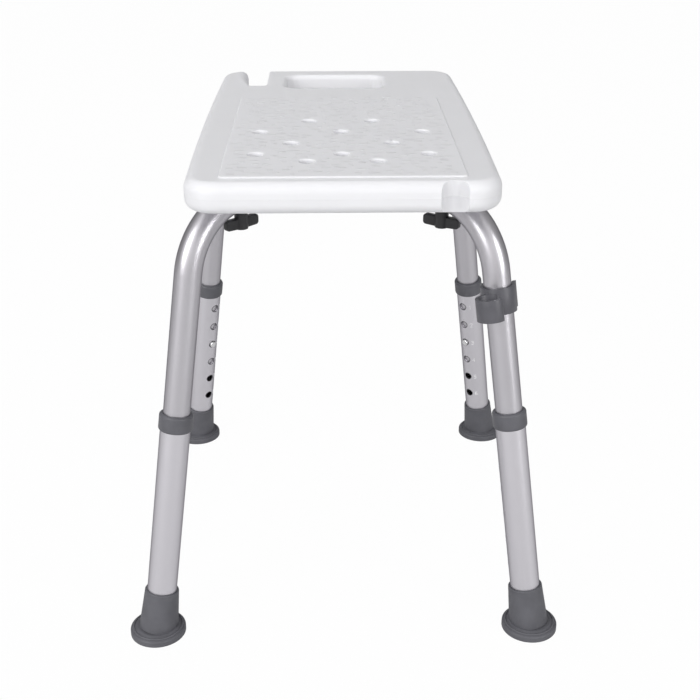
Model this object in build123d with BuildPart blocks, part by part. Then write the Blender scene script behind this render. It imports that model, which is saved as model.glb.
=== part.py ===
from build123d import *
import os
from math import asin, atan2, cos, degrees, pi, radians, sin, sqrt, tan

# Shower stool: a blow-moulded seat on two crossed tubes, with four telescoping legs.
# Millimetres, +Z up. The origin is on the floor, under the middle of the seat.
# X runs across the seat, Y along it. Front is -Y, left is -X.

# ---------------------------------------------------------------- seat
seat_length = 460.0  # along Y
seat_width = 266.0  # along X, at the middle
seat_bow = 3.0  # how much each long side draws in towards its ends
seat_thickness = 28.0  # at the edge
seat_height = 465.0  # the sitting face, above the floor
seat_corner_radius = 26.0  # seen from above
seat_edge_radius = 9.0  # top and bottom edges
seat_wall = 3.0  # the blow-moulded skin

panel_width = 204.0  # the raised sitting panel
panel_length = 299.0
panel_shift = -64.0  # its middle, along Y
panel_rise = 1.2
panel_corner_radius = 5.0

drain_radius = 6.5
drain_wall = 2.6  # the sleeve round each drain hole
drain_rim_radius = 1.8  # the rounded lip of a drain hole
drain_rows = [  # (Y, the X places in that row)
    (-24.0, (-30.0, 30.0)),
    (-66.0, (-75.0, 0.0, 75.0)),
    (-107.0, (-45.0, 45.0)),
    (-144.0, (-75.0, 0.0, 75.0)),
    (-167.0, (-30.0, 30.0)),
]

grip_width = 106.0  # the hand hole at the rear end
grip_length = 66.0
grip_shift = -4.0  # its middle, along X
grip_rim = 32.0  # from the hole to the rear edge
grip_corner_radius = 14.0
grip_edge_radius = 5.0

notch_width = 20.0  # the slot that is open to the rear edge
notch_depth = 85.0
notch_place = -88.5  # its middle, along X
notch_corner_radius = 5.5
notch_splay = 5.0  # how much wider it is at the mouth
notch_mouth_radius = 7.0
notch_rim_radius = 2.0  # its upper and lower edges
notch_round = 10.0  # the outer upper edge at the mouth; it is rounded less further in
notch_round_run = 46.0  # from the slot's inner end to where the rounding is full

groove_width = 23.0  # the shallow hollow in the front edge
groove_depth = 8.0
groove_place = 90.0

vent_radius = 2.5  # the blowing hole in the underside

# ---------------------------------------------------------------- crossed tubes
tube_radius = 12.7
tube_wall = 1.2
tube_drop = 10.55  # from the seat's underside down to the tubes
tube_angle = 47.3  # the crossed tubes' direction from the X axis, degrees
leg_lean = 10.5  # the legs' lean from upright, degrees
foot_reach = 270.6  # from the middle to each foot's middle, on the floor
bend_radius = 68.0
flat_height = 12.4  # each tube's height where the two cross
flat_reach = 23.0  # half the flattened stretch
flat_blend = 32.0  # the stretch from flat to round

# ---------------------------------------------------------------- telescoping legs
sleeve_wall = 1.5
sleeve_top = 226.0  # along the leg's axis, from the floor
hole_radius = 4.25
hole_pitch = 25.4
hole_count = 6
first_hole = 198.5  # along the leg's axis, from the floor
button_hole = 3  # the hole that the button stands in, counted from the top
tube_tail = 38.1  # how far the inner tube runs on below its button

collar_radius = 16.1
collar_height = 17.0
collar_lip = 4.2  # the part above the sleeve's end
collar_edge_radius = 2.6

foot_radius = 27.0
flange_edge = 5.5
flange_rise = 8.5  # the flange's height where it meets the socket
flange_edge_radius = 2.0
bead_reach = 23.6  # the raised ring on the flange, from the foot's middle
bead_radius = 1.1
socket_top = 46.5  # along the leg's axis, from the floor
socket_top_radius = 16.4
socket_base_radius = 19.0
socket_base = 6.0
foot_floor = 8.5  # the rubber and washer under the sleeve
tread_depth = 1.2
tread_width = 2.2
tread_radii = (9.0, 15.5, 22.0)
foot_washer_thickness = 1.5
foot_washer_radius = 13.6

# ---------------------------------------------------------------- snap buttons
button_radius = 4.0
button_proud = 2.3  # above the sleeve
button_dome = 1.5
button_flange_radius = 5.0
button_flange = 0.9
button_seat = 1.4  # from the tube's inner wall to the flange's outer face
rivet_radius = 1.5
rivet_head_radius = 2.5
rivet_head = 0.8
spring_thickness = 0.5
spring_width = 7.0
spring_rise = 34.0  # the fold, above the button
spring_tail = 8.0  # the leaves' ends, below the button
spring_fold_radius = 3.0

# ---------------------------------------------------------------- seat fixings
knob_inset = 0.36  # from the start of a tube's bend in to the wing knob's axis
stud_radius = 3.0
stud_into_insert = 12.0
stud_into_knob = 9.0
insert_radius = 4.6
insert_length = 15.0
insert_wall = 4.4  # the plastic round each insert
saddle_length = 36.0  # along the tube
saddle_width = 40.0
saddle_grip = 9.0  # how far the saddle comes down past the tube's top
saddle_shift = -8.0  # its middle, from the knob towards the seat's middle
saddle_corner_radius = 8.0
knob_washer_radius = 7.6
knob_washer_thickness = 1.2
hub_radius = 6.3
hub_height = 15.5
wing_span = 37.0
wing_thickness = 6.4
wing_height = 9.8
wing_rise = 0.8  # how far the wing tips lift
wing_tip_radius = 3.0
wing_turns = {"front_left": 42, "front_right": -33, "rear_right": 57, "rear_left": -48}  # degrees

bolt_radius = 4.0
bolt_head_radius = 7.4
bolt_head_height = 5.0
bolt_end = 1.4  # past the nut
bolt_washer_radius = 8.4
bolt_washer_thickness = 1.4
nut_across_flats = 13.0
nut_height = 6.4

# ---------------------------------------------------------------- hand-shower clip
clip_drop = 13.2  # from the bend down to the clip, along the leg
clip_height = 24.5
clip_wall = 3.1
clip_mouth = 130.0  # degrees
clip_lip = 4.5  # how far its two lips flare out
holder_bore = 10.5
holder_wall = 2.8
holder_height = 20.5
holder_aim = 247.0  # the holder's side of the tube, degrees from the X axis
holder_mouth = 84.0  # degrees
holder_mouth_aim = 3.0  # degrees from the X axis

# ---------------------------------------------------------------- clearances
fit_gap = 0.2  # between pieces that are fastened together
slide_gap = 0.1  # between the sleeve and the inner tube
turn_gap = 0.06  # round a shaft that turns
button_gap = 0.2  # round the snap buttons
tight_gap = 0.05  # between faces that are drawn up tight or pressed on

# ---------------------------------------------------------------- worked out from the above
seat_underside = seat_height - seat_thickness
tube_height = seat_underside - tube_drop - tube_radius  # the level run's axis, above the floor
sleeve_bore = tube_radius + slide_gap
sleeve_radius = sleeve_bore + sleeve_wall
sleeve_base = foot_floor + foot_washer_thickness + tight_gap  # along the leg's axis
lean = radians(leg_lean)
corner_reach = foot_reach - tube_height * tan(lean)  # where the leg's axis meets the level run
bend_tangent = bend_radius * tan((pi / 2 - lean) / 2)
bend_inner_reach = corner_reach - bend_tangent  # where the level run ends
knob_reach = bend_inner_reach - knob_inset  # from the middle to each wing knob
leg_length = tube_height / cos(lean)  # along the leg's axis, floor to corner
bend_start = leg_length - bend_tangent
button_height = first_hole - (button_hole - 1) * hole_pitch
tube_end = button_height - tube_tail
tube_under = tube_height - tube_radius
tube_bore = tube_radius - tube_wall

corners = {  # the four legs, by the direction they stand in
    "rear_right": tube_angle,
    "rear_left": 180 - tube_angle,
    "front_left": 180 + tube_angle,
    "front_right": 360 - tube_angle,
}


def heading(azimuth):
    """The level direction at an angle from the X axis."""
    return Vector(cos(radians(azimuth)), sin(radians(azimuth)), 0)


def upright_plane(azimuth):
    """The upright plane that a leg stands in: local x outwards, local y up."""
    out = heading(azimuth)
    return Plane(origin=(0, 0, 0), x_dir=out, z_dir=out.cross(Vector(0, 0, 1)))


def leg_plane(azimuth):
    """Across a leg: its origin where the axis meets the floor, local x outwards, z up the leg."""
    out = heading(azimuth)
    up = Vector(0, 0, 1) * cos(lean) - out * sin(lean)
    across = out * cos(lean) + Vector(0, 0, 1) * sin(lean)
    return Plane(origin=out * foot_reach, x_dir=across, z_dir=up)


def inward_plane(azimuth, height):
    """Across the snap button's axis, which points from the leg's axis towards the stool's middle."""
    leg = leg_plane(azimuth)
    return Plane(origin=leg.from_local_coords((0, 0, height)), x_dir=leg.z_dir, z_dir=-leg.x_dir)


def knob_plane(azimuth, height):
    """Level, on a knob's axis, with local x along the tube."""
    origin = heading(azimuth) * knob_reach + Vector(0, 0, height)
    return Plane(origin=origin, x_dir=heading(azimuth), z_dir=(0, 0, 1))


def circles(piece, radius):
    """A piece's circular edges that are this wide or wider."""
    round_edges = piece.edges().filter_by(GeomType.CIRCLE)
    return ShapeList(e for e in round_edges if e.radius > radius - 0.1)


def save(piece, name):
    """Labels a finished piece and writes its STEP file."""
    piece.part.label = name
    export_step(piece.part, f"parts/{name}.step")


os.makedirs("parts", exist_ok=True)

# ================================================================ seat
half_length = seat_length / 2
half_width = seat_width / 2
grip_place = half_length - grip_rim - grip_length / 2
saddle_bottom = tube_height + tube_radius - saddle_grip
insert_base = tube_height + tube_radius + fit_gap + 1.0
groove_radius = (groove_width**2 / 4 + groove_depth**2) / (2 * groove_depth)
groove_centre = -half_length + groove_depth - groove_radius
knob_spots = [heading(a) * knob_reach for a in corners.values()]


def outline_points(inset):
    """Right side, then left side of the seat from above, each as front, middle and rear points."""
    x = half_width - inset
    end_x = x - seat_bow
    y = half_length - inset
    return [(end_x, -y), (x, 0), (end_x, y)], [(-end_x, y), (-x, 0), (-end_x, -y)]


# the space inside the blow-moulded skin
with BuildPart() as cavity:
    right_side, left_side = outline_points(seat_wall)
    with BuildSketch(Plane.XY.offset(seat_underside + seat_wall)) as cavity_plan:
        with BuildLine():
            ThreePointArc(*right_side)
            Line(right_side[-1], left_side[0])
            ThreePointArc(*left_side)
            Line(left_side[-1], right_side[0])
        make_face()
        fillet(cavity_plan.vertices(), seat_corner_radius - seat_wall)
    extrude(amount=seat_thickness - panel_rise - 2 * seat_wall)
    fillet(cavity.edges().filter_by(Plane.XY), seat_edge_radius - seat_wall)
    with BuildSketch(Plane.XY.offset(seat_underside)):
        for y, places in drain_rows:
            with Locations(*[(x, y) for x in places]):
                Circle(drain_radius + drain_wall)
        with Locations((grip_shift, grip_place)):
            RectangleRounded(
                grip_width + 2 * seat_wall,
                grip_length + 2 * seat_wall,
                grip_corner_radius + seat_wall,
            )
        with Locations((notch_place - (notch_splay + notch_round) / 2, half_length)):
            RectangleRounded(
                notch_width + notch_splay + notch_round + 2 * seat_wall,
                2 * (notch_depth + seat_wall),
                notch_corner_radius + seat_wall,
            )
        with Locations((groove_place, groove_centre)):
            Circle(groove_radius + seat_wall)
        with Locations(*knob_spots):
            Circle(insert_radius + insert_wall)
    extrude(amount=seat_thickness, mode=Mode.SUBTRACT)

with BuildPart() as seat:
    right_side, left_side = outline_points(0)
    with BuildSketch(Plane.XY.offset(seat_underside)) as seat_plan:
        with BuildLine():
            ThreePointArc(*right_side)
            Line(right_side[-1], left_side[0])
            ThreePointArc(*left_side)
            Line(left_side[-1], right_side[0])
        make_face()
        fillet(seat_plan.vertices(), seat_corner_radius)
    extrude(amount=seat_thickness - panel_rise)
    fillet(seat.edges().filter_by(Plane.XY), seat_edge_radius)

    # the raised sitting panel
    with BuildSketch(Plane.XY.offset(seat_height - panel_rise - seat_wall / 2)):
        with Locations((0, panel_shift)):
            RectangleRounded(panel_width, panel_length, panel_corner_radius)
    extrude(amount=panel_rise + seat_wall / 2)
    chamfer(seat.faces().sort_by(Axis.Z)[-1].edges(), panel_rise * 0.8)

    # the hand hole, the slot at the rear edge and the shallow hollow in the front edge
    with BuildSketch(Plane.XY.offset(seat_underside)):
        with Locations((grip_shift, grip_place)):
            RectangleRounded(grip_width, grip_length, grip_corner_radius)
    extrude(amount=seat_thickness, mode=Mode.SUBTRACT)
    grip_rims = [
        e
        for e in seat.edges().filter_by(Plane.XY)
        if abs(e.center().X - grip_shift) < grip_width * 0.51
        and abs(e.center().Y - grip_place) < grip_length * 0.51
    ]
    fillet(grip_rims, grip_edge_radius)
    notch_outer = notch_place - notch_width / 2
    notch_inner = notch_place + notch_width / 2
    notch_end = half_length - notch_depth
    mouth = half_length + tight_gap
    wide = notch_mouth_radius + 2
    with BuildSketch(Plane.XY.offset(seat_underside)) as notch_plan:
        with BuildLine():
            Polyline(
                (notch_outer, notch_end),
                (notch_inner, notch_end),
                (notch_inner, mouth),
                (notch_inner + wide, mouth),
                (notch_inner + wide, mouth + wide),
                (notch_outer - notch_splay - wide, mouth + wide),
                (notch_outer - notch_splay - wide, mouth),
                (notch_outer - notch_splay, mouth),
                close=True,
            )
        make_face()
        fillet(notch_plan.vertices().filter_by(lambda v: v.Y < notch_end + 1), notch_corner_radius)
        bends = notch_plan.vertices().filter_by(
            lambda v: abs(v.Y - mouth) < 0.01 and abs(v.X - notch_place) < notch_width / 2 + notch_splay + 1
        )
        fillet(bends, notch_mouth_radius)
    extrude(amount=seat_thickness, mode=Mode.SUBTRACT)
    with BuildSketch(Plane.XY.offset(seat_underside)):
        with Locations((groove_place, groove_centre)):
            Circle(groove_radius)
    extrude(amount=seat_thickness, mode=Mode.SUBTRACT)

    notch_rims = [
        e
        for e in seat.edges().filter_by(Plane.XY)
        if notch_end - 0.1 < e.center().Y < half_length - seat_edge_radius
        and notch_outer - 0.5 < e.center().X < notch_inner + 0.5
        and e.length < notch_depth
        and abs(abs(e.center().Z - seat_underside - seat_thickness / 2) - seat_thickness / 2) < panel_rise + 0.1
    ]
    fillet(notch_rims, notch_rim_radius)
    # the slot's outer upper edge, rounded more and more towards the mouth
    rim = seat_height - panel_rise
    for y, radius in (
        (notch_end + notch_corner_radius, notch_rim_radius),
        (notch_end + notch_round_run, notch_round),
        (half_length + 1, notch_round),
    ):
        edge = notch_outer - notch_splay * (y - notch_end) / notch_depth
        half_turn = radius * (1 - cos(pi / 4))
        with BuildSketch(Plane.XZ.offset(-y)):
            with BuildLine():
                Polyline(
                    (edge, rim - radius), (edge + 2, rim - radius), (edge + 2, rim + 1),
                    (edge - radius, rim + 1), (edge - radius, rim),
                )
                ThreePointArc(
                    (edge - radius, rim), (edge - half_turn, rim - half_turn), (edge, rim - radius)
                )
            make_face()
    loft(ruled=True, mode=Mode.SUBTRACT)

    # drain holes
    with BuildSketch(Plane.XY.offset(seat_underside)):
        for y, places in drain_rows:
            with Locations(*[(x, y) for x in places]):
                Circle(drain_radius)
    extrude(amount=seat_thickness, mode=Mode.SUBTRACT)
    round_edges = seat.edges().filter_by(GeomType.CIRCLE)
    drain_rims = [e for e in round_edges if abs(e.radius - drain_radius) < 0.01]
    fillet(drain_rims, drain_rim_radius)

    add(cavity.part, mode=Mode.SUBTRACT)

    # saddles under the seat that the tubes lie in
    for azimuth in corners.values():
        with BuildSketch(knob_plane(azimuth, saddle_bottom)):
            with Locations((saddle_shift, 0)):
                RectangleRounded(saddle_length, saddle_width, saddle_corner_radius)
        extrude(amount=seat_underside + seat_wall / 2 - saddle_bottom)
    for azimuth in corners.values():
        across_tube = Plane(origin=(0, 0, tube_height), x_dir=(0, 0, 1), z_dir=heading(azimuth))
        with BuildSketch(across_tube):
            Circle(tube_radius + fit_gap)
        extrude(amount=knob_reach + saddle_length, mode=Mode.SUBTRACT)

    # pockets for the inserts, with the way in for each stud, and the blowing hole
    for azimuth in corners.values():
        with BuildSketch(knob_plane(azimuth, insert_base)):
            Circle(insert_radius + tight_gap)
        extrude(amount=insert_length + tight_gap, mode=Mode.SUBTRACT)
        with BuildSketch(knob_plane(azimuth, tube_height)):
            Circle(stud_radius + fit_gap)
        extrude(amount=insert_base - tube_height, mode=Mode.SUBTRACT)
    with BuildSketch(Plane.XY.offset(seat_underside)):
        with Locations((0, -half_length / 2)):
            Circle(vent_radius)
    extrude(amount=seat_wall, mode=Mode.SUBTRACT)

save(seat, "seat")

# threaded inserts moulded into the seat
for name, azimuth in corners.items():
    with BuildPart() as insert:
        with BuildSketch(knob_plane(azimuth, insert_base)):
            Circle(insert_radius)
            Circle(stud_radius + turn_gap, mode=Mode.SUBTRACT)
        extrude(amount=insert_length)
        chamfer(insert.faces().sort_by(Axis.Z)[0].edges(), 0.4)
    save(insert, f"seat_insert_{name}")

# ================================================================ crossed tubes
flat_half_width = (2 * pi * tube_radius - pi * flat_height) / 4 + flat_height / 2
flat_straight = 2 * flat_half_width - flat_height
flat_rise = flat_height / 2 + tight_gap  # from the level run's axis to each flattened middle


def on_leg(along):
    """A point on a leg's axis, in its upright plane."""
    return (foot_reach - along * sin(lean), along * cos(lean))


def section_plane(azimuth, reach, height):
    """Across a level tube: local x level, local y up."""
    origin = heading(azimuth) * reach + Vector(0, 0, height)
    return Plane(origin=origin, x_dir=(heading(azimuth).cross(Vector(0, 0, 1))), z_dir=-heading(azimuth))


def tube_half(azimuth, radius, height, width, level):
    """One solid half of a frame tube: leg, bend, level run, then the change to the flattened middle."""
    swing = (pi / 2 + lean) / 2  # half way round the bend
    bend_middle = (bend_inner_reach, tube_height - bend_radius)
    with BuildPart() as half:
        with BuildLine(upright_plane(azimuth)) as path:
            Line(on_leg(tube_end), on_leg(bend_start))
            ThreePointArc(
                on_leg(bend_start),
                (
                    bend_middle[0] + bend_radius * cos(swing),
                    bend_middle[1] + bend_radius * sin(swing),
                ),
                (bend_middle[0], tube_height),
            )
            Line((bend_middle[0], tube_height), (flat_reach + flat_blend, tube_height))
        with BuildSketch(leg_plane(azimuth).offset(tube_end)):
            Circle(radius)
        sweep(path=path.wire())
        arc = radius / sqrt(2)
        reach = height / 2
        run = (width - height) / 2
        with BuildSketch(section_plane(azimuth, flat_reach + flat_blend, tube_height)):
            with BuildLine():
                ThreePointArc((-arc, arc), (0, radius), (arc, arc))
                ThreePointArc((arc, arc), (radius, 0), (arc, -arc))
                ThreePointArc((arc, -arc), (0, -radius), (-arc, -arc))
                ThreePointArc((-arc, -arc), (-radius, 0), (-arc, arc))
            make_face()
        with BuildSketch(section_plane(azimuth, flat_reach, tube_height + level)):
            with BuildLine():
                Line((-run, reach), (run, reach))
                ThreePointArc((run, reach), (run + reach, 0), (run, -reach))
                Line((run, -reach), (-run, -reach))
                ThreePointArc((-run, -reach), (-run - reach, 0), (-run, reach))
            make_face()
        loft()
        with BuildSketch(section_plane(azimuth, flat_reach, tube_height + level)):
            SlotOverall(width, height)
        extrude(amount=flat_reach)
    return half.part


for name, azimuth, level, ends in (
    ("frame_tube_a", tube_angle, flat_rise, ("rear_right", "front_left")),
    ("frame_tube_b", -tube_angle, -flat_rise, ("front_right", "rear_left")),
):
    skin = (tube_radius, flat_height, 2 * flat_half_width, level)
    inside = [skin[0] - tube_wall, skin[1] - 2 * tube_wall, skin[2] - 2 * tube_wall, level]
    with BuildPart() as tube:
        add(tube_half(azimuth, *skin))
        add(tube_half(azimuth + 180, *skin))
        add(tube_half(azimuth, *inside), mode=Mode.SUBTRACT)
        add(tube_half(azimuth + 180, *inside), mode=Mode.SUBTRACT)
        for end in ends:
            # the way through for a knob's stud
            with BuildSketch(knob_plane(corners[end], tube_height - 2 * tube_radius)):
                Circle(stud_radius + fit_gap)
            extrude(amount=4 * tube_radius, mode=Mode.SUBTRACT)
            # the snap button's hole
            with BuildSketch(inward_plane(corners[end], button_height)):
                Circle(button_radius + button_gap)
            extrude(amount=2 * tube_radius, mode=Mode.SUBTRACT)
        with BuildSketch(Plane.XY.offset(tube_height - 2 * tube_radius)):
            Circle(bolt_radius + fit_gap)
        extrude(amount=4 * tube_radius, mode=Mode.SUBTRACT)
    save(tube, name)

# ================================================================ the bolt where the tubes cross
flat_top = tube_height + flat_rise + flat_height / 2
flat_bottom = tube_height - flat_rise - flat_height / 2
washer_bottom = flat_bottom - tight_gap - bolt_washer_thickness
nut_bottom = washer_bottom - tight_gap - nut_height
bolt_bottom = nut_bottom - bolt_end

with BuildPart() as centre_bolt:
    with BuildSketch(Plane.XY.offset(bolt_bottom)):
        Circle(bolt_radius)
    extrude(amount=flat_top + tight_gap - bolt_bottom)
    chamfer(centre_bolt.faces().sort_by(Axis.Z)[0].edges(), 0.7)
    with BuildSketch(Plane.XY.offset(flat_top + tight_gap)):
        Circle(bolt_head_radius)
    extrude(amount=bolt_head_height)
    fillet(centre_bolt.faces().sort_by(Axis.Z)[-1].edges(), 2.4)
    with BuildSketch(Plane.XY.offset(flat_top + tight_gap + bolt_head_height)):
        RegularPolygon(2.5, 6)
    extrude(amount=-2.6, mode=Mode.SUBTRACT)
save(centre_bolt, "centre_bolt")

with BuildPart() as centre_washer:
    with BuildSketch(Plane.XY.offset(washer_bottom)):
        Circle(bolt_washer_radius)
        Circle(bolt_radius + fit_gap, mode=Mode.SUBTRACT)
    extrude(amount=bolt_washer_thickness)
    chamfer(circles(centre_washer, bolt_washer_radius), 0.25)
save(centre_washer, "centre_washer")

with BuildPart() as centre_nut:
    with BuildSketch(Plane.XY.offset(nut_bottom)):
        RegularPolygon(nut_across_flats / 2, 6, major_radius=False)
        Circle(bolt_radius + tight_gap, mode=Mode.SUBTRACT)
    extrude(amount=nut_height)
    with BuildSketch(Plane.XZ):
        with BuildLine():
            Polyline(
                (nut_across_flats * 0.48, nut_bottom),
                (nut_across_flats, nut_bottom),
                (nut_across_flats, nut_bottom + nut_across_flats * 0.52 * tan(radians(28))),
                close=True,
            )
        make_face()
    revolve(axis=Axis.Z, mode=Mode.SUBTRACT)
save(centre_nut, "centre_nut")

# ================================================================ telescoping legs
collar_top = sleeve_top + collar_lip
collar_base = collar_top - collar_height
button_root = tube_bore - button_seat - button_flange  # the flange's inner face
leaf_face = button_root - tight_gap  # the leaf's outer face
leaf_middle = leaf_face - spring_thickness / 2
into_bend = max(0, knob_reach + knob_washer_radius - bend_inner_reach)
washer_drop = into_bend**2 / (2 * (bend_radius - tube_radius))  # the bend falls away above it
far_leaf = sqrt(tube_bore**2 - spring_width**2 / 4) - spring_thickness / 2 - 3 * tight_gap

for name, azimuth in corners.items():
    axis_plane = leg_plane(azimuth)
    floor_point = heading(azimuth) * foot_reach

    with BuildPart() as sleeve:
        with BuildSketch(axis_plane.offset(sleeve_base)):
            Circle(sleeve_radius)
            Circle(sleeve_bore, mode=Mode.SUBTRACT)
        extrude(amount=sleeve_top - sleeve_base)
        for i in range(hole_count):
            with BuildSketch(inward_plane(azimuth, first_hole - i * hole_pitch)):
                Circle(hole_radius)
            extrude(amount=2 * sleeve_radius, mode=Mode.SUBTRACT)
    save(sleeve, f"leg_tube_{name}")

    with BuildPart() as collar:
        with BuildSketch(axis_plane.offset(collar_base)):
            Circle(collar_radius)
        extrude(amount=collar_height)
        fillet(collar.edges().filter_by(GeomType.CIRCLE), collar_edge_radius)
        with BuildSketch(axis_plane.offset(collar_base)):
            Circle(sleeve_radius + tight_gap)
        extrude(amount=collar_height - collar_lip + tight_gap, mode=Mode.SUBTRACT)
        with BuildSketch(axis_plane.offset(collar_base)):
            Circle(sleeve_bore)
        extrude(amount=collar_height, mode=Mode.SUBTRACT)
    save(collar, f"collar_{name}")

    with BuildPart() as foot:
        # the flange that stands flat on the floor, with a bead round it
        with BuildSketch(Plane.XZ):
            with BuildLine():
                Polyline(
                    (0, 0),
                    (foot_radius, 0),
                    (foot_radius, flange_edge),
                    (socket_base_radius + 1, flange_rise),
                    (0, flange_rise),
                    close=True,
                )
            make_face()
        revolve(axis=Axis.Z)
        fillet(circles(foot, foot_radius).sort_by(Axis.Z)[-1], flange_edge_radius)
        slope = (flange_rise - flange_edge) / (foot_radius - socket_base_radius - 1)
        with BuildSketch(Plane.XZ):
            with Locations((bead_reach, flange_edge + (foot_radius - bead_reach) * slope)):
                Circle(bead_radius)
        revolve(axis=Axis.Z)
        with BuildSketch(Plane.XY):
            for tread in tread_radii:
                Circle(tread + tread_width / 2)
                Circle(tread - tread_width / 2, mode=Mode.SUBTRACT)
        extrude(amount=tread_depth, mode=Mode.SUBTRACT)
    standing = foot.part.moved(Location(floor_point))

    with BuildPart() as socket:
        with BuildSketch(axis_plane.offset(socket_base)):
            Circle(socket_base_radius)
        with BuildSketch(axis_plane.offset(socket_top)):
            Circle(socket_top_radius)
        loft()
        fillet(socket.edges().filter_by(lambda e: e.center().Z > socket_top / 2), 1.4)

    with BuildPart() as shoe:
        add(standing)
        add(socket.part)
        with BuildSketch(axis_plane.offset(foot_floor)):
            Circle(sleeve_radius + tight_gap)
        extrude(amount=socket_top, mode=Mode.SUBTRACT)
    save(shoe, f"foot_{name}")

    with BuildPart() as foot_washer:
        with BuildSketch(axis_plane.offset(foot_floor + tight_gap / 2)):
            Circle(foot_washer_radius)
        extrude(amount=foot_washer_thickness)
        chamfer(foot_washer.edges(), 0.2)
    save(foot_washer, f"foot_washer_{name}")

    # snap button: dome, flange against the tube's bore, and a rivet through the spring
    across = inward_plane(azimuth, button_height)
    with BuildPart() as button:
        with BuildSketch(across.offset(button_root)):
            Circle(button_radius)
        extrude(amount=sleeve_radius + button_proud - button_root)
        fillet(button.faces().sort_by(Axis(across.origin, across.z_dir))[-1].edges(), button_dome)
        with BuildSketch(across.offset(button_root)):
            Circle(button_flange_radius)
        extrude(amount=button_flange)
        with BuildSketch(across.offset(leaf_face - spring_thickness - tight_gap)):
            Circle(rivet_radius)
        extrude(amount=spring_thickness + 2 * tight_gap)
        with BuildSketch(across.offset(leaf_face - spring_thickness - tight_gap)):
            Circle(rivet_head_radius)
        extrude(amount=-rivet_head)
        fillet(button.faces().sort_by(Axis(across.origin, across.z_dir))[0].edges(), 0.35)
    save(button, f"snap_button_{name}")

    # the folded leaf spring inside the tube
    side_plane = Plane(origin=across.origin, x_dir=across.z_dir, z_dir=across.z_dir.cross(axis_plane.z_dir))
    with BuildPart() as spring:
        with BuildSketch(side_plane):
            with BuildLine() as leaf:
                Polyline(
                    (leaf_middle, -spring_tail),
                    (leaf_middle, spring_tail),
                    (0, spring_rise),
                    (-far_leaf, -spring_tail),
                )
                fillet(leaf.vertices().sort_by(Axis(across.origin, axis_plane.z_dir))[-1], spring_fold_radius)
            trace(line_width=spring_thickness)
        extrude(amount=spring_width / 2, both=True)
        with BuildSketch(across.offset(leaf_middle - spring_thickness)):
            Circle(rivet_radius + tight_gap)
        extrude(amount=2 * spring_thickness, mode=Mode.SUBTRACT)
    save(spring, f"button_spring_{name}")

    # ------------------------------------------------------------ wing knobs
    washer_top = tube_under - tight_gap - washer_drop
    hub_top = washer_top - knob_washer_thickness - 0.3
    with BuildPart() as knob_washer:
        with BuildSketch(knob_plane(azimuth, washer_top - knob_washer_thickness)):
            Circle(knob_washer_radius)
            Circle(stud_radius + fit_gap, mode=Mode.SUBTRACT)
        extrude(amount=knob_washer_thickness)
        chamfer(circles(knob_washer, knob_washer_radius), 0.2)
    save(knob_washer, f"knob_washer_{name}")

    stud_base = hub_top - stud_into_knob
    with BuildPart() as stud:
        with BuildSketch(knob_plane(azimuth, stud_base)):
            Circle(stud_radius)
        extrude(amount=insert_base + stud_into_insert - stud_base)
        chamfer(stud.edges().filter_by(GeomType.CIRCLE), 0.5)
    save(stud, f"knob_stud_{name}")

    hub_bottom = hub_top - hub_height
    turned = Plane(
        origin=knob_plane(azimuth, hub_bottom).origin,
        x_dir=heading(wing_turns[name]),
        z_dir=(0, 0, 1),
    )
    blade_face = Plane(origin=turned.origin, x_dir=turned.x_dir, z_dir=turned.x_dir.cross(turned.z_dir))
    with BuildPart() as knob:
        with BuildSketch(turned):
            Circle(hub_radius)
        extrude(amount=hub_height)
        with BuildSketch(blade_face) as blade:
            with BuildLine():
                Polyline(
                    (-wing_span / 2, wing_rise),
                    (0, 0),
                    (wing_span / 2, wing_rise),
                    (wing_span / 2, wing_rise + wing_height),
                    (-wing_span / 2, wing_rise + wing_height),
                    close=True,
                )
            make_face()
            fillet(
                [v for v in blade.vertices() if abs(turned.to_local_coords(v.center()).X) > wing_span / 4],
                wing_tip_radius,
            )
        extrude(amount=wing_thickness / 2, both=True)
        outer_edges = [
            e
            for e in knob.edges()
            if abs(turned.to_local_coords(e.center()).X) > hub_radius + 0.5
        ]
        fillet(outer_edges, 1.2)
        with BuildSketch(knob_plane(azimuth, stud_base - tight_gap)):
            Circle(stud_radius + tight_gap)
        extrude(amount=hub_height, mode=Mode.SUBTRACT)
    save(knob, f"wing_knob_{name}")

# ================================================================ hand-shower clip
clip_azimuth = corners["front_right"]
clip_base = bend_start - clip_drop - clip_height
clip_plane = leg_plane(clip_azimuth).offset(clip_base)
clip_bore = tube_radius + turn_gap
clip_radius = clip_bore + clip_wall
holder_radius = holder_bore + holder_wall
holder_turn = radians(holder_aim - clip_azimuth)
holder_offset = clip_radius + holder_radius - 2.2
holder_spot = (holder_offset * cos(holder_turn), holder_offset * sin(holder_turn))
mouth_turn = holder_aim + 180 + 14 - clip_azimuth


def ring_sector(centre, radius, middle, angle):
    """Corner points of a wedge that is wider than a ring, for cutting its mouth."""
    reach = radius * 3
    points = [centre]
    for turn in (radians(middle - angle / 2), radians(middle + angle / 2)):
        points.append((centre[0] + reach * cos(turn), centre[1] + reach * sin(turn)))
    return points


def at_turn(radius, turn):
    """A point at a radius and an angle in degrees, across the leg."""
    return (radius * cos(radians(turn)), radius * sin(radians(turn)))


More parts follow.
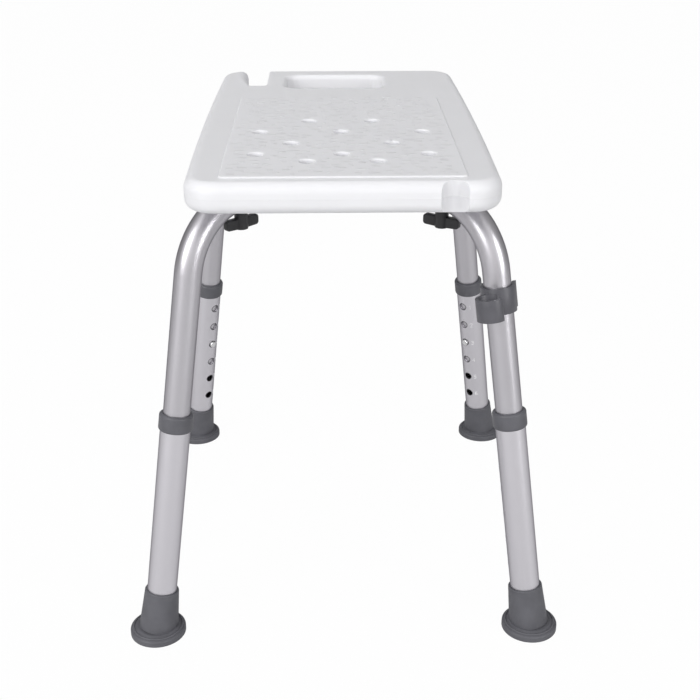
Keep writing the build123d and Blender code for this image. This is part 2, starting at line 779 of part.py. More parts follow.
with BuildPart() as clip:
    # the open ring that holds the hand shower
    with BuildSketch(clip_plane):
        with Locations(holder_spot):
            Circle(holder_radius)
            Circle(holder_bore, mode=Mode.SUBTRACT)
    extrude(amount=holder_height)
    with BuildSketch(clip_plane):
        with BuildLine():
            Polyline(
                *ring_sector(
                    holder_spot, holder_radius, holder_mouth_aim - clip_azimuth, holder_mouth
                ),
                close=True,
            )
        make_face()
    extrude(amount=holder_height, mode=Mode.SUBTRACT)
    # the open ring that grips the tube
    with BuildSketch(clip_plane):
        Circle(clip_radius)
    extrude(amount=clip_height)
    with BuildSketch(clip_plane):
        Circle(clip_bore)
        with BuildLine():
            Polyline(*ring_sector((0, 0), clip_radius, mouth_turn, clip_mouth), close=True)
        make_face()
    extrude(amount=clip_height, mode=Mode.SUBTRACT)
    # lips that open outwards, so that the clip snaps on to the tube
    lip_middle = clip_bore + clip_wall / 2
    for side in (-1, 1):
        turn = mouth_turn + side * clip_mouth / 2
        with BuildSketch(clip_plane):
            with BuildLine():
                Polyline(
                    at_turn(lip_middle - clip_wall / 2, turn + side * 3),
                    at_turn(lip_middle + clip_wall / 2, turn + side * 3),
                    at_turn(lip_middle + clip_wall / 2 + clip_lip, turn - side * 11),
                    at_turn(lip_middle - clip_wall / 2 + clip_lip, turn - side * 16),
                    close=True,
                )
            make_face()
        extrude(amount=clip_height)
save(clip, "shower_clip")
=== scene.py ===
"""A shower stool: white seat, crossed silver tubes, telescoping legs, grey feet and clip."""

import math

import bmesh
import bpy
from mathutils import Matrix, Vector


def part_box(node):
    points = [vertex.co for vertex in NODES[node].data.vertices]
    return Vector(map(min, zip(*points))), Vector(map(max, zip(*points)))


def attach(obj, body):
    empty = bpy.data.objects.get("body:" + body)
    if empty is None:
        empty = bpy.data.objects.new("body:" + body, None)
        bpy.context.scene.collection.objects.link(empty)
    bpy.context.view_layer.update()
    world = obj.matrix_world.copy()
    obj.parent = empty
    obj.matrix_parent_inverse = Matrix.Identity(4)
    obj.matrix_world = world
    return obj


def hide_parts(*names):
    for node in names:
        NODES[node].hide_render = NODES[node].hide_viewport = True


bl_info = {
    "name": "Shower stool",
    "version": (1, 0, 0),
    "blender": (4, 5, 0),
    "location": "View3D > Sidebar > Stool",
    "description": "Dresses the shower stool's frame with its visible pieces and materials",
    "category": "Object",
}

# All lengths are in metres.
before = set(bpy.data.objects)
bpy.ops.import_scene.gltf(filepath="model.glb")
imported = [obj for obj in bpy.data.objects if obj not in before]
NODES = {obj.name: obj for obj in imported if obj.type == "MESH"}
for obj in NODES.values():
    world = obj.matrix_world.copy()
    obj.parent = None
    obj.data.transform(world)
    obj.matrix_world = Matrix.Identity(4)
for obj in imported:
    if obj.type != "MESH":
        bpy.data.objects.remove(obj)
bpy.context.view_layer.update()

# The seat: its front edge has a shallow hollow, and its mould parts a little below mid-height.
SEAT_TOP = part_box("seat")[1].z
SEAT_EDGE = 0.028
PARTING_LEVEL = SEAT_TOP - 0.515 * SEAT_EDGE
# where shade is painted into the seat's colour: the hollow's centre and radius
HOLLOW_CENTRE = (0.090, -0.23427, 0)
HOLLOW_RADIUS = 0.01227

# The sitting panel and its drain holes.
PANEL_WIDTH = 0.204
PANEL_LENGTH = 0.299
PANEL_SHIFT = -0.064
DRAIN_ROWS = (
    (-0.024, (-0.030, 0.030)),
    (-0.066, (-0.075, 0.0, 0.075)),
    (-0.107, (-0.045, 0.045)),
    (-0.144, (-0.075, 0.0, 0.075)),
    (-0.167, (-0.030, 0.030)),
)
DRAIN_HOLES = [(x, y) for y, row in DRAIN_ROWS for x in row]

# The bed that the grain is scattered over is made of square cells. It leaves out the smooth
# surroundings of the drain holes, which are a little wider than they are long.
BED_CELL = 0.003
BED_MARGIN = 0.006
DRAIN_CLEARANCE = 0.0095
DRAIN_SQUEEZE = 0.8

# A grain dash is a flat-topped pebble; each level is its height and its width there.
DASH_LEVELS = ((-0.8, 1.0), (0.25, 1.0), (0.75, 0.86), (1.0, 0.58))
DASH_SIDES = 14
DASH_ROUNDNESS = 0.8
DASH_END_TAPER = 0.35
GRAIN_SEED = 11
GRAIN_DENSITY = 30000.0
GRAIN_SMALLEST = (0.45, 0.65, 0.6)
GRAIN_LARGEST = (1.45, 1.15, 1.1)
GRAIN_TURN = 0.34
GRAIN_WEAR = (0.0026, 0.0024, 0.0)
GRAIN_WEAR_SCALE = 420.0

# The legs stand in upright planes through the middle of the seat and lean in towards it.
LEG_TURNS = {"rear_right": 47.3, "rear_left": 132.7, "front_left": 227.3, "front_right": 312.7}
LEG_LEAN = math.radians(10.5)
LEG_REACH = 0.2706
SLEEVE_RADIUS = 0.0143
FIRST_HOLE = 0.1985
HOLE_PITCH = 0.0254
HOLE_COUNT = 6
HOLE_RADIUS = 0.00425

# Painted shade round an adjusting hole: a thin dark bead, a little wider than the hole, stands in
# for the shade inside it.
RIM_RADIUS = HOLE_RADIUS + 0.00015
RIM_THICKNESS = 0.00034
RIM_SINK = 0.00005

# The numbers beside the holes, and each digit's strokes in a cell one unit high, from its foot.
NUMBER_HEIGHT = 0.0052
NUMBER_SIDE = 0.0094
STROKE_THICKNESS = 0.00036
DIGITS = {
    1: [[(-0.16, 0.78), (0.06, 1.0), (0.06, 0.0)]],
    2: [[(-0.26, 0.78), (-0.16, 0.96), (0.10, 1.0), (0.27, 0.82), (0.18, 0.52), (-0.28, 0.0),
         (0.30, 0.0)]],
    3: [[(-0.26, 0.90), (0.02, 1.0), (0.26, 0.84), (0.18, 0.60), (-0.04, 0.53)],
        [(-0.04, 0.53), (0.22, 0.46), (0.29, 0.22), (0.06, 0.0), (-0.28, 0.10)]],
    4: [[(0.14, 0.0), (0.14, 1.0), (-0.30, 0.30), (0.32, 0.30)]],
    5: [[(0.26, 1.0), (-0.20, 1.0), (-0.24, 0.56), (0.06, 0.62), (0.28, 0.40), (0.20, 0.08),
         (-0.06, 0.0), (-0.28, 0.10)]],
    6: [[(0.20, 0.96), (-0.06, 0.92), (-0.26, 0.55), (-0.26, 0.22), (-0.04, 0.0), (0.20, 0.08),
         (0.27, 0.34), (0.10, 0.55), (-0.14, 0.52), (-0.26, 0.30)]],
}

# The clip's flat triangles are merged, and then its edges are rounded where they are sharp.
CLIP_ROUNDING = 0.0006
CLIP_SHARP_ANGLE = math.radians(35.0)
FLAT_ANGLE = math.radians(0.5)
WELD_DISTANCE = 2e-6

# The eye sees a white floor and room, and metal sees paler ones than those that light it.
FLOOR_REACH = 6.0
FLOOR_COLOUR = (0.72, 0.72, 0.72)
FLOOR_CLEARNESS = 0.98
FLOOR_MIRRORED = 0.25
ROOM_MIRRORED = 0.36
ROOM_BRIGHT_SIDE = (-0.27, -0.80, 0.54)
ROOM_DIMMEST = 0.04
ROOM_BRIGHTEST = 0.94

# Each lamp's name, place, size and power; all aim at the middle of the stool.
LAMP_AIM = Vector((0, 0, 0.3))
LAMPS = (
    ("left_box", (-1.90, -1.95, 1.75), (0.95, 1.6), 40),
    ("right_box", (2.05, -1.75, 1.15), (0.4, 1.6), 24),
    ("top_box", (-0.2, 0.6, 1.9), (1.6, 1.6), 7),
)

CAMERA_PLACE = (-0.01302, -1.1095, 0.72515)
CAMERA_PITCH = math.radians(24.849)
CAMERA_YAW = math.radians(-1.178)
CAMERA_LENS = 58.63
CAMERA_SENSOR = 36.0
CAMERA_NEAR = 0.05

WHITE = (1, 1, 1)
BLACK = (0, 0, 0)


# ------------------------------------------------------------------ node helpers
def new_material(name):
    """An empty node material; any older one of that name is cleared."""
    material = bpy.data.materials.get(name) or bpy.data.materials.new(name)
    material.use_nodes = True
    material.node_tree.nodes.clear()
    return material


def add_node(tree, kind, settings=None, **inputs):
    """One node, with its properties set and its sockets given a value or a link.

    A socket is named with two underscores for each space, or numbered after one underscore.
    """
    node = tree.nodes.new(kind)
    for key, value in (settings or {}).items():
        setattr(node, key, value)
    for key, value in inputs.items():
        name = int(key[1:]) if key[0] == "_" else key.replace("__", " ")
        if isinstance(value, bpy.types.NodeSocket):
            tree.links.new(value, node.inputs[name])
        else:
            node.inputs[name].default_value = value
    return node


def calculate(tree, operation, *values):
    """The result of one operation on values or links."""
    inputs = {f"_{i}": value for i, value in enumerate(values)}
    return add_node(tree, "ShaderNodeMath", {"operation": operation}, **inputs).outputs[0]


def combine(tree, operation, *vectors):
    """The node that does one operation on vectors or links to them."""
    inputs = {f"_{i}": vector for i, vector in enumerate(vectors)}
    return add_node(tree, "ShaderNodeVectorMath", {"operation": operation}, **inputs)


def fade(tree, value, start, end, first, last):
    """A value that goes softly from first to last while the given one goes from start to end."""
    return add_node(
        tree, "ShaderNodeMapRange", {"interpolation_type": "SMOOTHSTEP"}, Value=value,
        From__Min=start, From__Max=end, To__Min=first, To__Max=last,
    ).outputs[0]


def spread(tree, value, low, high):
    """A value from 0 to 1 moved to a narrower range."""
    return add_node(
        tree, "ShaderNodeMapRange", Value=value, To__Min=low, To__Max=high
    ).outputs[0]


def noise(tree, vector, scale, detail):
    """Fractal noise in the object's own metres."""
    return add_node(
        tree, "ShaderNodeTexNoise", Vector=vector, Scale=scale, Detail=detail, Roughness=0.5
    ).outputs[0]


def blend_colours(tree, factor, first, second):
    """A colour between two, by a factor; the first may be a link."""
    if not isinstance(first, bpy.types.NodeSocket):
        first = (*first, 1)
    return add_node(
        tree, "ShaderNodeMix", {"data_type": "RGBA"}, _0=factor, _6=first, _7=(*second, 1)
    ).outputs[2]


def bump(tree, height, distance, strength=1.0, normal=None):
    """A bump of a given height in metres."""
    node = add_node(tree, "ShaderNodeBump", Height=height, Distance=distance, Strength=strength)
    if normal is not None:
        tree.links.new(normal, node.inputs["Normal"])
    return node.outputs[0]


def finish_material(material, colour, roughness, normal, **fixed):
    """The surface shader; colour, roughness and normal are links, the rest are plain values."""
    tree = material.node_tree
    shader = add_node(
        tree, "ShaderNodeBsdfPrincipled",
        Base__Color=colour, Roughness=roughness, Normal=normal, **fixed,
    )
    add_node(tree, "ShaderNodeOutputMaterial", _0=shader.outputs[0])
    return material


def surface_point(tree):
    """The point on the surface, in the object's own metres."""
    return tree.nodes.new("ShaderNodeTexCoord").outputs["Object"]


def seen_and_mirrored(tree, share):
    """Whether a ray comes from the eye, and a share of whether it comes off metal or glass."""
    rays = tree.nodes.new("ShaderNodeLightPath").outputs
    mirrored = calculate(tree, "MAXIMUM", rays["Is Glossy Ray"], rays["Is Transmission Ray"])
    return rays["Is Camera Ray"], calculate(tree, "MULTIPLY", mirrored, share)


# ------------------------------------------------------------------ shape helpers
def new_piece(name, mesh, body, material):
    """Links a finished mesh as a smooth-shaded piece that rides on a body."""
    piece = bpy.data.objects.new(name, mesh)
    bpy.context.scene.collection.objects.link(piece)
    mesh.materials.clear()
    mesh.materials.append(material)
    for polygon in mesh.polygons:
        polygon.use_smooth = True
        polygon.material_index = 0
    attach(piece, body)
    return piece


def new_maker(name, data):
    """Links a helper object, which is removed once its mesh is made."""
    maker = bpy.data.objects.new(name, data)
    bpy.context.scene.collection.objects.link(maker)
    return maker


def plain_mesh(maker, name):
    """The evaluated mesh of a helper object; the helper is removed."""
    bpy.context.view_layer.update()
    evaluated = maker.evaluated_get(bpy.context.evaluated_depsgraph_get())
    mesh = bpy.data.meshes.new_from_object(evaluated)
    mesh.name = name
    bpy.data.objects.remove(maker)
    return mesh


def new_mesh(name, form):
    """A mesh from a finished bmesh, which is freed."""
    mesh = bpy.data.meshes.new(name)
    form.to_mesh(mesh)
    form.free()
    return mesh


def geometry_tree(name, inputs):
    """A new geometry node tree that works on a mesh, and its given inputs' sockets."""
    tree = bpy.data.node_groups.new(name, "GeometryNodeTree")
    for label, kind in (("Geometry", "Geometry"), *inputs):
        tree.interface.new_socket(label, in_out="INPUT", socket_type="NodeSocket" + kind)
    tree.interface.new_socket("Geometry", in_out="OUTPUT", socket_type="NodeSocketGeometry")
    return tree, tree.nodes.new("NodeGroupInput").outputs


def finish_tree(tree, geometry, material):
    """The end of a geometry node tree: its result gets a material."""
    coloured = add_node(tree, "GeometryNodeSetMaterial", Geometry=geometry, Material=material)
    add_node(tree, "NodeGroupOutput", _0=coloured.outputs[0])


def run_tree(maker, tree, values):
    """Puts a node tree on a helper object, with a value for each named input."""
    modifier = maker.modifiers.new(tree.name, "NODES")
    modifier.node_group = tree
    for item in tree.interface.items_tree:
        if item.in_out == "INPUT" and item.name in values:
            modifier[item.identifier] = values[item.name]


def leg_axes(leg):
    """Where a leg's axis meets the floor, and its directions: up the leg, inwards and across."""
    turn = math.radians(LEG_TURNS[leg])
    out = Vector((math.cos(turn), math.sin(turn), 0))
    up = Vector((0, 0, 1)) * math.cos(LEG_LEAN) - out * math.sin(LEG_LEAN)
    inwards = -(out * math.cos(LEG_LEAN) + Vector((0, 0, 1)) * math.sin(LEG_LEAN))
    return out * LEG_REACH, up, inwards, up.cross(inwards)


# ------------------------------------------------------------------ materials
def seat_material(colour):
    """White blow-moulded plastic: a soft waxy gloss over a fine moulded grain."""
    material = new_material("seat_plastic")
    tree = material.node_tree
    point = surface_point(tree)
    axes = add_node(tree, "ShaderNodeSeparateXYZ", _0=point).outputs
    # the colour is slightly uneven, and shade is painted into the hollow in the front edge, a
    # little darker there
    tint = tuple(c * 0.975 for c in colour)
    even = blend_colours(tree, noise(tree, point, scale=26.0, detail=3.0), colour, tint)
    flat = add_node(tree, "ShaderNodeCombineXYZ", X=axes["X"], Y=axes["Y"]).outputs[0]
    reach = combine(tree, "DISTANCE", flat, HOLLOW_CENTRE).outputs["Value"]
    painted_hollow_shade = fade(
        tree, reach, start=HOLLOW_RADIUS + 0.0001, end=HOLLOW_RADIUS + 0.0006, first=0.09, last=0
    )
    base = blend_colours(tree, painted_hollow_shade, even, BLACK)
    roughness = spread(tree, noise(tree, point, scale=60.0, detail=4.0), 0.42, 0.52)
    # both halves of the mould lean away from their parting line, which shows as a faint ridge
    away = calculate(tree, "ABSOLUTE", calculate(tree, "SUBTRACT", axes["Z"], PARTING_LEVEL))
    ridge = fade(tree, away, start=0, end=0.0007, first=1, last=0)
    lean = bump(tree, away, distance=-0.055)
    seam = bump(tree, ridge, distance=0.00010, normal=lean)
    waves = noise(tree, point, scale=34.0, detail=2.0)
    grain = noise(tree, point, scale=1500.0, detail=2.0)
    uneven = bump(tree, waves, distance=0.0006, strength=0.10, normal=seam)
    normal = bump(tree, grain, distance=0.00010, strength=0.22, normal=uneven)
    return finish_material(
        material, base, roughness, normal, IOR=1.5,
        Subsurface__Weight=0.35, Subsurface__Radius=(0.014, 0.014, 0.015), Subsurface__Scale=0.6,
    )


def metal_material(name, colour, rough, grain=2600.0, sparkle=0.5):
    """Satin metal: fine blasted grain and faint handling marks."""
    material = new_material(name)
    tree = material.node_tree
    point = surface_point(tree)
    fine = noise(tree, point, scale=grain, detail=2.0)
    marks = noise(tree, point, scale=42.0, detail=5.0)
    dark = tuple(c * 0.86 for c in colour)
    base = blend_colours(tree, calculate(tree, "MULTIPLY", fine, 0.75), colour, dark)
    roughness = spread(tree, marks, rough - 0.03, rough + 0.05)
    normal = bump(tree, fine, distance=0.00006, strength=sparkle)
    return finish_material(
        material, base, roughness, normal, Metallic=1.0, Specular__Tint=(0.20, 0.20, 0.21, 1)
    )


def moulded_material(name, colour, rough, grain=900.0):
    """Moulded plastic or rubber with an eroded grain and slightly paler worn places."""
    material = new_material(name)
    tree = material.node_tree
    point = surface_point(tree)
    pale = tuple(min(1.0, c * 1.22 + 0.004) for c in colour)
    worn = add_node(
        tree, "ShaderNodeMapRange", Value=noise(tree, point, scale=55.0, detail=5.0),
        From__Min=0.38, From__Max=0.75,
    ).outputs[0]
    base = blend_colours(tree, worn, colour, pale)
    roughness = spread(
        tree, noise(tree, point, scale=140.0, detail=4.0), rough - 0.05, rough + 0.07
    )
    pits = noise(tree, point, scale=grain, detail=3.0)
    normal = bump(tree, pits, distance=0.00012, strength=0.35)
    return finish_material(material, base, roughness, normal)


def floor_material():
    """Matt paper that the eye sees through, so that a lowered foot isn't cut off."""
    material = new_material("floor_paper")
    tree = material.node_tree
    seen, mirrored = seen_and_mirrored(tree, FLOOR_MIRRORED)
    paper = add_node(tree, "ShaderNodeBsdfDiffuse", Color=(*FLOOR_COLOUR, 1)).outputs[0]
    glow = add_node(tree, "ShaderNodeEmission", Color=(*WHITE, 1)).outputs[0]
    clear = tree.nodes.new("ShaderNodeBsdfTransparent").outputs[0]
    lit = add_node(tree, "ShaderNodeMixShader", _0=mirrored, _1=paper, _2=glow).outputs[0]
    clearness = calculate(tree, "MULTIPLY", seen, FLOOR_CLEARNESS)
    mixed = add_node(tree, "ShaderNodeMixShader", _0=clearness, _1=lit, _2=clear)
    add_node(tree, "ShaderNodeOutputMaterial", _0=mixed.outputs[0])
    return material


def room_world():
    """A soft light from the front left that fades towards the back; the eye sees plain white."""
    world = bpy.data.worlds.new("studio")
    world.use_nodes = True
    tree = world.node_tree
    heading = tree.nodes.new("ShaderNodeTexCoord").outputs["Generated"]
    facing = combine(tree, "DOT_PRODUCT", heading, ROOM_BRIGHT_SIDE).outputs["Value"]
    light = fade(tree, facing, start=-0.05, end=1, first=ROOM_DIMMEST, last=ROOM_BRIGHTEST)
    seen, mirrored = seen_and_mirrored(tree, ROOM_MIRRORED)
    unseen = calculate(tree, "MAXIMUM", light, mirrored)
    strength = add_node(
        tree, "ShaderNodeMix", {"data_type": "FLOAT"}, _0=seen, _2=unseen, _3=1
    ).outputs[0]
    background = tree.nodes["Background"]
    background.inputs["Color"].default_value = (*WHITE, 1)
    tree.links.new(strength, background.inputs["Strength"])
    return world


def give(node, material):
    """Puts a material on a kept frame node."""
    data = NODES[node].data
    if not data.materials:
        data.materials.append(material)
    for i in range(len(data.materials)):
        data.materials[i] = material
    for polygon in data.polygons:
        polygon.material_index = 0


# ------------------------------------------------------------------ settings
def colour_property(name, description, default):
    """A colour a user may change."""
    return bpy.props.FloatVectorProperty(
        name=name, description=description, subtype="COLOR", size=3, min=0, max=1, default=default
    )


def length_property(name, description, default):
    """A length in metres a user may change."""
    return bpy.props.FloatProperty(
        name=name, description=description, subtype="DISTANCE", unit="LENGTH", precision=5, min=0,
        default=default,
    )


class StoolSettings(bpy.types.PropertyGroup):
    """Sizes and colours of the dressed stool."""

    grain_spacing: length_property("Grain spacing", "Least distance between two dashes", 0.0092)
    grain_length: length_property("Grain length", "Mean length of a grain dash", 0.0080)
    grain_width: length_property("Grain width", "Mean width of a grain dash", 0.0032)
    grain_rise: length_property("Grain rise", "How far the grain stands up", 0.00026)
    seat_colour: colour_property("Seat", "Colour of the moulded seat", (0.80, 0.80, 0.83))
    metal_colour: colour_property("Tubes", "Colour of the bare aluminium", (0.62, 0.605, 0.64))
    grey_colour: colour_property("Grey parts", "Colour of collars and feet", (0.089, 0.089, 0.101))
    clip_colour: colour_property("Clip", "Colour of the hand-shower clip", (0.082, 0.081, 0.093))
    black_colour: colour_property("Knobs", "Colour of knobs and washers", (0.018, 0.018, 0.020))


# ------------------------------------------------------------------ operators
class STOOL_OT_materials(bpy.types.Operator):
    """Give every kept part of the frame its material"""

    bl_idname = "stool.materials"
    bl_label = "Materials"

    def execute(self, context):
        settings = context.scene.stool
        metal = settings.metal_colour
        bright_metal = tuple(min(0.9, c * 1.2) for c in metal)
        grey, black = settings.grey_colour, settings.black_colour
        steel = metal_material("steel", (0.62, 0.62, 0.64), 0.32, grain=1800.0, sparkle=0.3)
        # for each start of a node's name; the longest that fits is taken
        wanted = {
            "seat": seat_material(settings.seat_colour),
            "seat_insert": metal_material(
                "insert_brass", (0.76, 0.60, 0.30), 0.30, grain=1800.0, sparkle=0.3
            ),
            "frame_tube": metal_material("frame_aluminium", metal, 0.34),
            "leg_tube": metal_material("leg_aluminium", bright_metal, 0.34),
            "collar": moulded_material("collar_plastic", grey, 0.50),
            "foot": moulded_material("foot_rubber", grey, 0.58, grain=700.0),
            "foot_washer": steel,
            "centre": steel,
            "knob_stud": steel,
            "snap_button": metal_material(
                "button_chrome", (0.82, 0.82, 0.83), 0.12, grain=1200.0, sparkle=0.05
            ),
            "button_spring": metal_material(
                "spring_steel", (0.42, 0.44, 0.50), 0.30, grain=1500.0, sparkle=0.2
            ),
            "wing_knob": moulded_material("knob_plastic", black, 0.42),
            "knob_washer": moulded_material("washer_black", black, 0.5),
            "shower_clip": moulded_material("clip_plastic", settings.clip_colour, 0.42),
        }
        for node in NODES:
            give(node, wanted[max((key for key in wanted if node.startswith(key)), key=len)])
        return {"FINISHED"}


def dash_mesh():
    """One grain dash, a metre long, wide and high, that is let in below."""
    form = bmesh.new()
    rings = []
    for height, size in DASH_LEVELS:
        ring = []
        for k in range(DASH_SIDES):
            turn = 2 * math.pi * k / DASH_SIDES
            x, y = (
                math.copysign(0.5, side) * abs(side) ** DASH_ROUNDNESS
                for side in (math.cos(turn), math.sin(turn))
            )
            length = 1 - (1 - size) * DASH_END_TAPER
            ring.append(form.verts.new((x * length, y * size, height)))
        rings.append(ring)
    for low, high in zip(rings, rings[1:]):
        for k in range(DASH_SIDES):
            after = (k + 1) % DASH_SIDES
            form.faces.new((low[k], low[after], high[after], high[k]))
    form.faces.new(list(reversed(rings[0])))
    form.faces.new(rings[-1])
    return new_mesh("dash", form)


def clear_of_drains(x, y):
    """Whether a point of the panel lies outside the smooth surroundings of the drain holes."""
    nearest = min(math.hypot((x - hx) * DRAIN_SQUEEZE, y - hy) for hx, hy in DRAIN_HOLES)
    return nearest > DRAIN_CLEARANCE


def grain_bed():
    """The part of the sitting panel that carries grain."""
    across = int((PANEL_WIDTH - 2 * BED_MARGIN) / BED_CELL)
    along = int((PANEL_LENGTH - 2 * BED_MARGIN) / BED_CELL)
    left = -across * BED_CELL / 2
    front = PANEL_SHIFT - along * BED_CELL / 2
    form = bmesh.new()
    corners = [
        [
            form.verts.new((left + i * BED_CELL, front + j * BED_CELL, SEAT_TOP))
            for i in range(across + 1)
        ]
        for j in range(along + 1)
    ]
    for j in range(along):
        for i in range(across):
            if clear_of_drains(left + (i + 0.5) * BED_CELL, front + (j + 0.5) * BED_CELL):
                form.faces.new((
                    corners[j][i], corners[j][i + 1], corners[j + 1][i + 1], corners[j + 1][i]
                ))
    bmesh.ops.delete(form, geom=[v for v in form.verts if not v.link_faces], context="VERTS")
    return new_mesh("grain_bed", form)


def random_vector(tree, low, high, seed):
    """A random vector for each point, between two corners."""
    return add_node(
        tree, "FunctionNodeRandomValue", {"data_type": "FLOAT_VECTOR"},
        _0=low, _1=high, Seed=seed,
    ).outputs[0]


def grain_tree():
    """The node tree that scatters dashes over a bed and wears them a little."""
    tree, given = geometry_tree("panel_grain", (
        ("Dash", "Object"), ("Spacing", "Float"), ("Size", "Vector"), ("Seed", "Int"),
        ("Material", "Material"),
    ))
    seed = given["Seed"]
    points = add_node(
        tree, "GeometryNodeDistributePointsOnFaces", {"distribute_method": "POISSON"},
        Mesh=given["Geometry"], Distance__Min=given["Spacing"], Density__Max=GRAIN_DENSITY,
        Seed=seed,
    ).outputs["Points"]
    shape = add_node(tree, "GeometryNodeObjectInfo", Object=given["Dash"]).outputs["Geometry"]
    vary = random_vector(tree, GRAIN_SMALLEST, GRAIN_LARGEST, seed)
    size = combine(tree, "MULTIPLY", vary, given["Size"]).outputs[0]
    turn = random_vector(tree, (0, 0, -GRAIN_TURN), (0, 0, GRAIN_TURN), seed)
    dashes = add_node(
        tree, "GeometryNodeInstanceOnPoints",
        Points=points, Instance=shape, Rotation=turn, Scale=size,
    ).outputs[0]
    solid = add_node(tree, "GeometryNodeRealizeInstances", Geometry=dashes).outputs[0]
    where = tree.nodes.new("GeometryNodeInputPosition").outputs[0]
    wave = add_node(
        tree, "ShaderNodeTexNoise", Vector=where, Scale=GRAIN_WEAR_SCALE, Detail=1
    ).outputs["Color"]
    centred = combine(tree, "SUBTRACT", wave, (0.5, 0.5, 0.5)).outputs[0]
    offset = combine(tree, "MULTIPLY", centred, GRAIN_WEAR).outputs[0]
    worn = add_node(tree, "GeometryNodeSetPosition", Geometry=solid, Offset=offset).outputs[0]
    finish_tree(tree, worn, given["Material"])
    return tree


class STOOL_OT_grain(bpy.types.Operator):
    """Scatter the short raised dashes of the anti-slip grain over the sitting panel"""

    bl_idname = "stool.grain"
    bl_label = "Panel grain"

    def execute(self, context):
        settings = context.scene.stool
        white = bpy.data.materials["seat_plastic"]
        dash = bpy.data.objects.new("dash", dash_mesh())
        bed = new_maker("grain_bed", grain_bed())
        run_tree(bed, grain_tree(), {
            "Dash": dash,
            "Spacing": settings.grain_spacing,
            "Size": (settings.grain_length, settings.grain_width, settings.grain_rise),
            "Seed": GRAIN_SEED,
            "Material": white,
        })
        mesh = plain_mesh(bed, "seat_grain")
        bpy.data.objects.remove(dash)
        new_piece("seat_grain", mesh, "frame", white)
        return {"FINISHED"}


class STOOL_OT_leg_numbers(bpy.types.Operator):
    """Stamp a small plain number beside each adjusting hole of the legs"""

    bl_idname = "stool.leg_numbers"
    bl_label = "Leg numbers"

    def execute(self, context):
        # painted highlight: the numbers are coloured white, standing in for the glint that the
        # stamped numbers catch
        number_highlight = moulded_material("painted_number_highlight", (0.93, 0.93, 0.95), 0.45)
        for leg in LEG_TURNS:
            foot, up, inwards, across = leg_axes(leg)
            curve = bpy.data.curves.new("numbers", "CURVE")
            curve.dimensions = "3D"
            curve.bevel_depth = STROKE_THICKNESS
            curve.bevel_resolution = 1
            curve.use_fill_caps = True
            for number in range(HOLE_COUNT):
                level = FIRST_HOLE - number * HOLE_PITCH - NUMBER_HEIGHT / 2
                for stroke in DIGITS[number + 1]:
                    spline = curve.splines.new("POLY")
                    spline.points.add(len(stroke) - 1)
                    for point, (side, rise) in zip(spline.points, stroke):
                        turn = (NUMBER_SIDE + side * NUMBER_HEIGHT) / SLEEVE_RADIUS
                        out = inwards * math.cos(turn) + across * math.sin(turn)
                        height = level + rise * NUMBER_HEIGHT
                        point.co = (*(foot + up * height + SLEEVE_RADIUS * out), 1)
            mesh = plain_mesh(new_maker("numbers", curve), "leg_numbers_" + leg)
            new_piece("leg_numbers_" + leg, mesh, "leg_" + leg, number_highlight)
        return {"FINISHED"}


def rim_tree():
    """The node tree that sets a thin rim on every point of a mesh."""
    tree, given = geometry_tree("hole_rims", (
        ("Radius", "Float"), ("Thickness", "Float"), ("Facing", "Vector"),
        ("Material", "Material"),
    ))
    ring, wire = (
        add_node(
            tree, "GeometryNodeCurvePrimitiveCircle", Resolution=sides, Radius=radius
        ).outputs["Curve"]
        for sides, radius in ((28, given["Radius"]), (8, given["Thickness"]))
    )
    rim = add_node(tree, "GeometryNodeCurveToMesh", Curve=ring, _1=wire).outputs[0]
    turn = add_node(
        tree, "FunctionNodeAlignRotationToVector", {"axis": "Z"}, Vector=given["Facing"]
    ).outputs[0]
    rims = add_node(
        tree, "GeometryNodeInstanceOnPoints", Points=given["Geometry"], Instance=rim, Rotation=turn
    ).outputs[0]
    solid = add_node(tree, "GeometryNodeRealizeInstances", Geometry=rims).outputs[0]
    finish_tree(tree, solid, given["Material"])
    return tree


class STOOL_OT_hole_rims(bpy.types.Operator):
    """Set a thin dark ring of painted shade round every adjusting hole of the legs"""

    bl_idname = "stool.hole_rims"
    bl_label = "Hole rims"

    def execute(self, context):
        tree = rim_tree()
        # painted shade: a dark ring stands in for the shade inside each hole
        dark = moulded_material("painted_hole_shade", (0.03, 0.03, 0.034), 0.6)
        for leg in LEG_TURNS:
            foot, up, inwards, across = leg_axes(leg)
            surface = foot + inwards * (SLEEVE_RADIUS - RIM_SINK)
            spots = [
                surface + up * (FIRST_HOLE - number * HOLE_PITCH) for number in range(HOLE_COUNT)
            ]
            holes = bpy.data.meshes.new("holes")
            holes.from_pydata(spots, [], [])
            maker = new_maker("holes", holes)
            run_tree(maker, tree, {
                "Radius": RIM_RADIUS,
                "Thickness": RIM_THICKNESS,
                "Facing": tuple(inwards),
                "Material": dark,
            })
            mesh = plain_mesh(maker, "hole_rims_" + leg)
            # each flat rim is laid round the tube
            for vertex in mesh.vertices:
                side = (vertex.co - foot).dot(across)
                vertex.co -= inwards * (SLEEVE_RADIUS - math.sqrt(SLEEVE_RADIUS ** 2 - side ** 2))
            new_piece("hole_rims_" + leg, mesh, "leg_" + leg, dark)
        return {"FINISHED"}


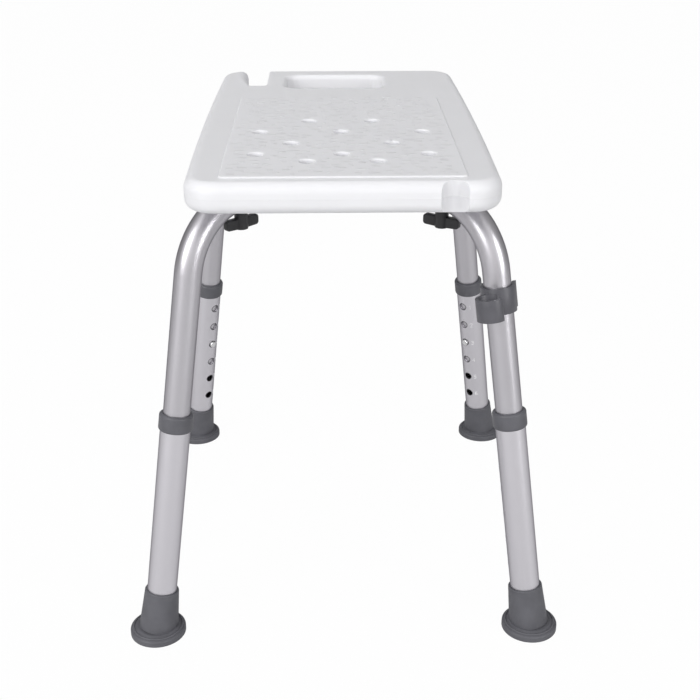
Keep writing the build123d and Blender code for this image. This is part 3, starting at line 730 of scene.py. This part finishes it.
class STOOL_OT_clip(bpy.types.Operator):
    """Round the edges of the hand-shower clip"""

    bl_idname = "stool.clip"
    bl_label = "Hand-shower clip"

    def execute(self, context):
        form = bmesh.new()
        form.from_mesh(NODES["shower_clip"].data)
        bmesh.ops.remove_doubles(form, verts=form.verts, dist=WELD_DISTANCE)
        bmesh.ops.dissolve_limit(
            form, angle_limit=FLAT_ANGLE, verts=form.verts, edges=form.edges, delimit={"NORMAL"}
        )
        sharp = [
            edge for edge in form.edges
            if len(edge.link_faces) == 2 and edge.calc_face_angle() > CLIP_SHARP_ANGLE
        ]
        bmesh.ops.bevel(
            form, geom=sharp, offset=CLIP_ROUNDING, segments=2, profile=0.5, affect="EDGES",
            clamp_overlap=True, miter_outer="ARC",
        )
        bmesh.ops.triangulate(form, faces=[face for face in form.faces if len(face.verts) > 4])
        bmesh.ops.recalc_face_normals(form, faces=form.faces)
        mesh = new_mesh("shower_clip_soft", form)
        piece = new_piece("clip_soft_edged", mesh, "clip", bpy.data.materials["clip_plastic"])
        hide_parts("shower_clip")
        return {"FINISHED"}


class STOOL_OT_stage(bpy.types.Operator):
    """Set up the floor, the room, the lamps and the camera"""

    bl_idname = "stool.stage"
    bl_label = "Stage"

    def execute(self, context):
        scene = context.scene
        mesh = bpy.data.meshes.new("floor")
        sides = ((-1, -1), (1, -1), (1, 1), (-1, 1))
        mesh.from_pydata(
            [(x * FLOOR_REACH, y * FLOOR_REACH, 0) for x, y in sides], [], [(0, 1, 2, 3)]
        )
        floor = bpy.data.objects.new("floor", mesh)
        scene.collection.objects.link(floor)
        mesh.materials.append(floor_material())
        scene.world = room_world()

        for name, place, size, power in LAMPS:
            data = bpy.data.lights.new(name, "AREA")
            data.shape = "RECTANGLE"
            data.size, data.size_y = size
            data.energy = power
            lamp = bpy.data.objects.new(name, data)
            scene.collection.objects.link(lamp)
            lamp.location = place
            lamp.rotation_euler = (LAMP_AIM - Vector(place)).to_track_quat("-Z", "Y").to_euler()

        data = bpy.data.cameras.new("camera")
        data.lens = CAMERA_LENS
        data.sensor_width = CAMERA_SENSOR
        data.clip_start = CAMERA_NEAR
        camera = bpy.data.objects.new("camera", data)
        scene.collection.objects.link(camera)
        camera.location = CAMERA_PLACE
        camera.rotation_euler = (math.pi / 2 - CAMERA_PITCH, 0, CAMERA_YAW)
        scene.camera = camera
        scene.view_settings.view_transform = "Standard"
        return {"FINISHED"}


OPERATORS = (
    STOOL_OT_materials,
    STOOL_OT_grain,
    STOOL_OT_leg_numbers,
    STOOL_OT_hole_rims,
    STOOL_OT_clip,
    STOOL_OT_stage,
)


class STOOL_PT_panel(bpy.types.Panel):
    """The stool's settings, and its pieces in the order they are made"""

    bl_idname = "STOOL_PT_panel"
    bl_label = "Shower stool"
    bl_space_type = "VIEW_3D"
    bl_region_type = "UI"
    bl_category = "Stool"

    def draw(self, context):
        settings = context.scene.stool
        for key in StoolSettings.__annotations__:
            self.layout.prop(settings, key)
        for operator in OPERATORS:
            self.layout.operator(operator.bl_idname)


CLASSES = (StoolSettings, *OPERATORS, STOOL_PT_panel)


def register():
    """Adds the settings, the operators and the panel."""
    for cls in CLASSES:
        bpy.utils.register_class(cls)
    bpy.types.Scene.stool = bpy.props.PointerProperty(type=StoolSettings)


def unregister():
    """Takes them away again."""
    del bpy.types.Scene.stool
    for cls in reversed(CLASSES):
        bpy.utils.unregister_class(cls)


def main():
    """Makes every piece and the stage."""
    register()
    bpy.ops.stool.materials()
    bpy.ops.stool.grain()
    bpy.ops.stool.leg_numbers()
    bpy.ops.stool.hole_rims()
    bpy.ops.stool.clip()
    bpy.ops.stool.stage()


if __name__ == "__main__":
    main()
